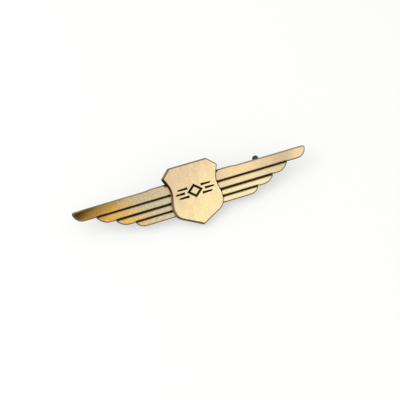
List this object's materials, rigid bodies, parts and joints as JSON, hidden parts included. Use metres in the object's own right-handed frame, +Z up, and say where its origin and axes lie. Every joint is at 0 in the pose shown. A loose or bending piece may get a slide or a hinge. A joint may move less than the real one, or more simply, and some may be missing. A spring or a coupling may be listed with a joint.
{
  "type": "pilot wings pin",
  "caption": "Wings badge with a raised shield over feathered wings, and a hinged pin with a turning safety catch on its back.",
  "frame": {"origin": "on the table, under the middle of the badge's bounding box; the badge lies face up and leans on the shield's point, the hinge bracket and the catch", "axes": "+X along the wings and the closed pin, from the hinge to the catch; +Y away from the shield's point; +Z up"},
  "size_m": [0.0762, 0.018, 0.0117],
  "materials": {
    "wings": "antique bronze plate, brushed along the feathers, dark patina in the recesses",
    "shield": "antique bronze plate, brushed, with a darkened rim",
    "brass_rivets": "antique brass",
    "emblem_enamel": "hard black enamel",
    "bar_plate": "antique bronze plated strip",
    "pin_fittings": "gunmetal plated steel",
    "stem_steel": "drawn spring steel",
    "catch_lever": "dark gunmetal plate",
    "groove_enamel": "dark brown enamel"
  },
  "bodies": {
    "badge": {"wing_plate": "wings", "shield_plate": "shield", "shield_rivets": "brass_rivets", "emblem_centre": "emblem_enamel", "emblem_right": "emblem_enamel", "emblem_left": "emblem_enamel", "pin_bar": "bar_plate", "bar_rivets": "brass_rivets", "hinge_bracket": "pin_fittings", "hinge_rivet": "pin_fittings", "catch_housing": "pin_fittings", "right_upper_fill": "groove_enamel", "left_upper_fill": "groove_enamel", "right_middle_fill": "groove_enamel", "left_middle_fill": "groove_enamel", "right_lower_fill": "groove_enamel", "left_lower_fill": "groove_enamel"},
    "pin": {"pin_stem": "stem_steel"},
    "catch": {"catch_sleeve": "catch_lever"}
  },
  "joints": [
    {"name": "pin_hinge", "type": "hinge", "parent": "badge", "child": "pin", "pos_m": [-0.022, 0.00527, 0.0019], "axis": [0, 0.869, 0.4949], "range_deg": [0, 85]},
    {"name": "catch_turn", "type": "hinge", "parent": "badge", "child": "catch", "pos_m": [0.02315, 0.00527, 0.0019], "axis": [-1, 0, 0], "range_deg": [0, 90]}
  ]
}
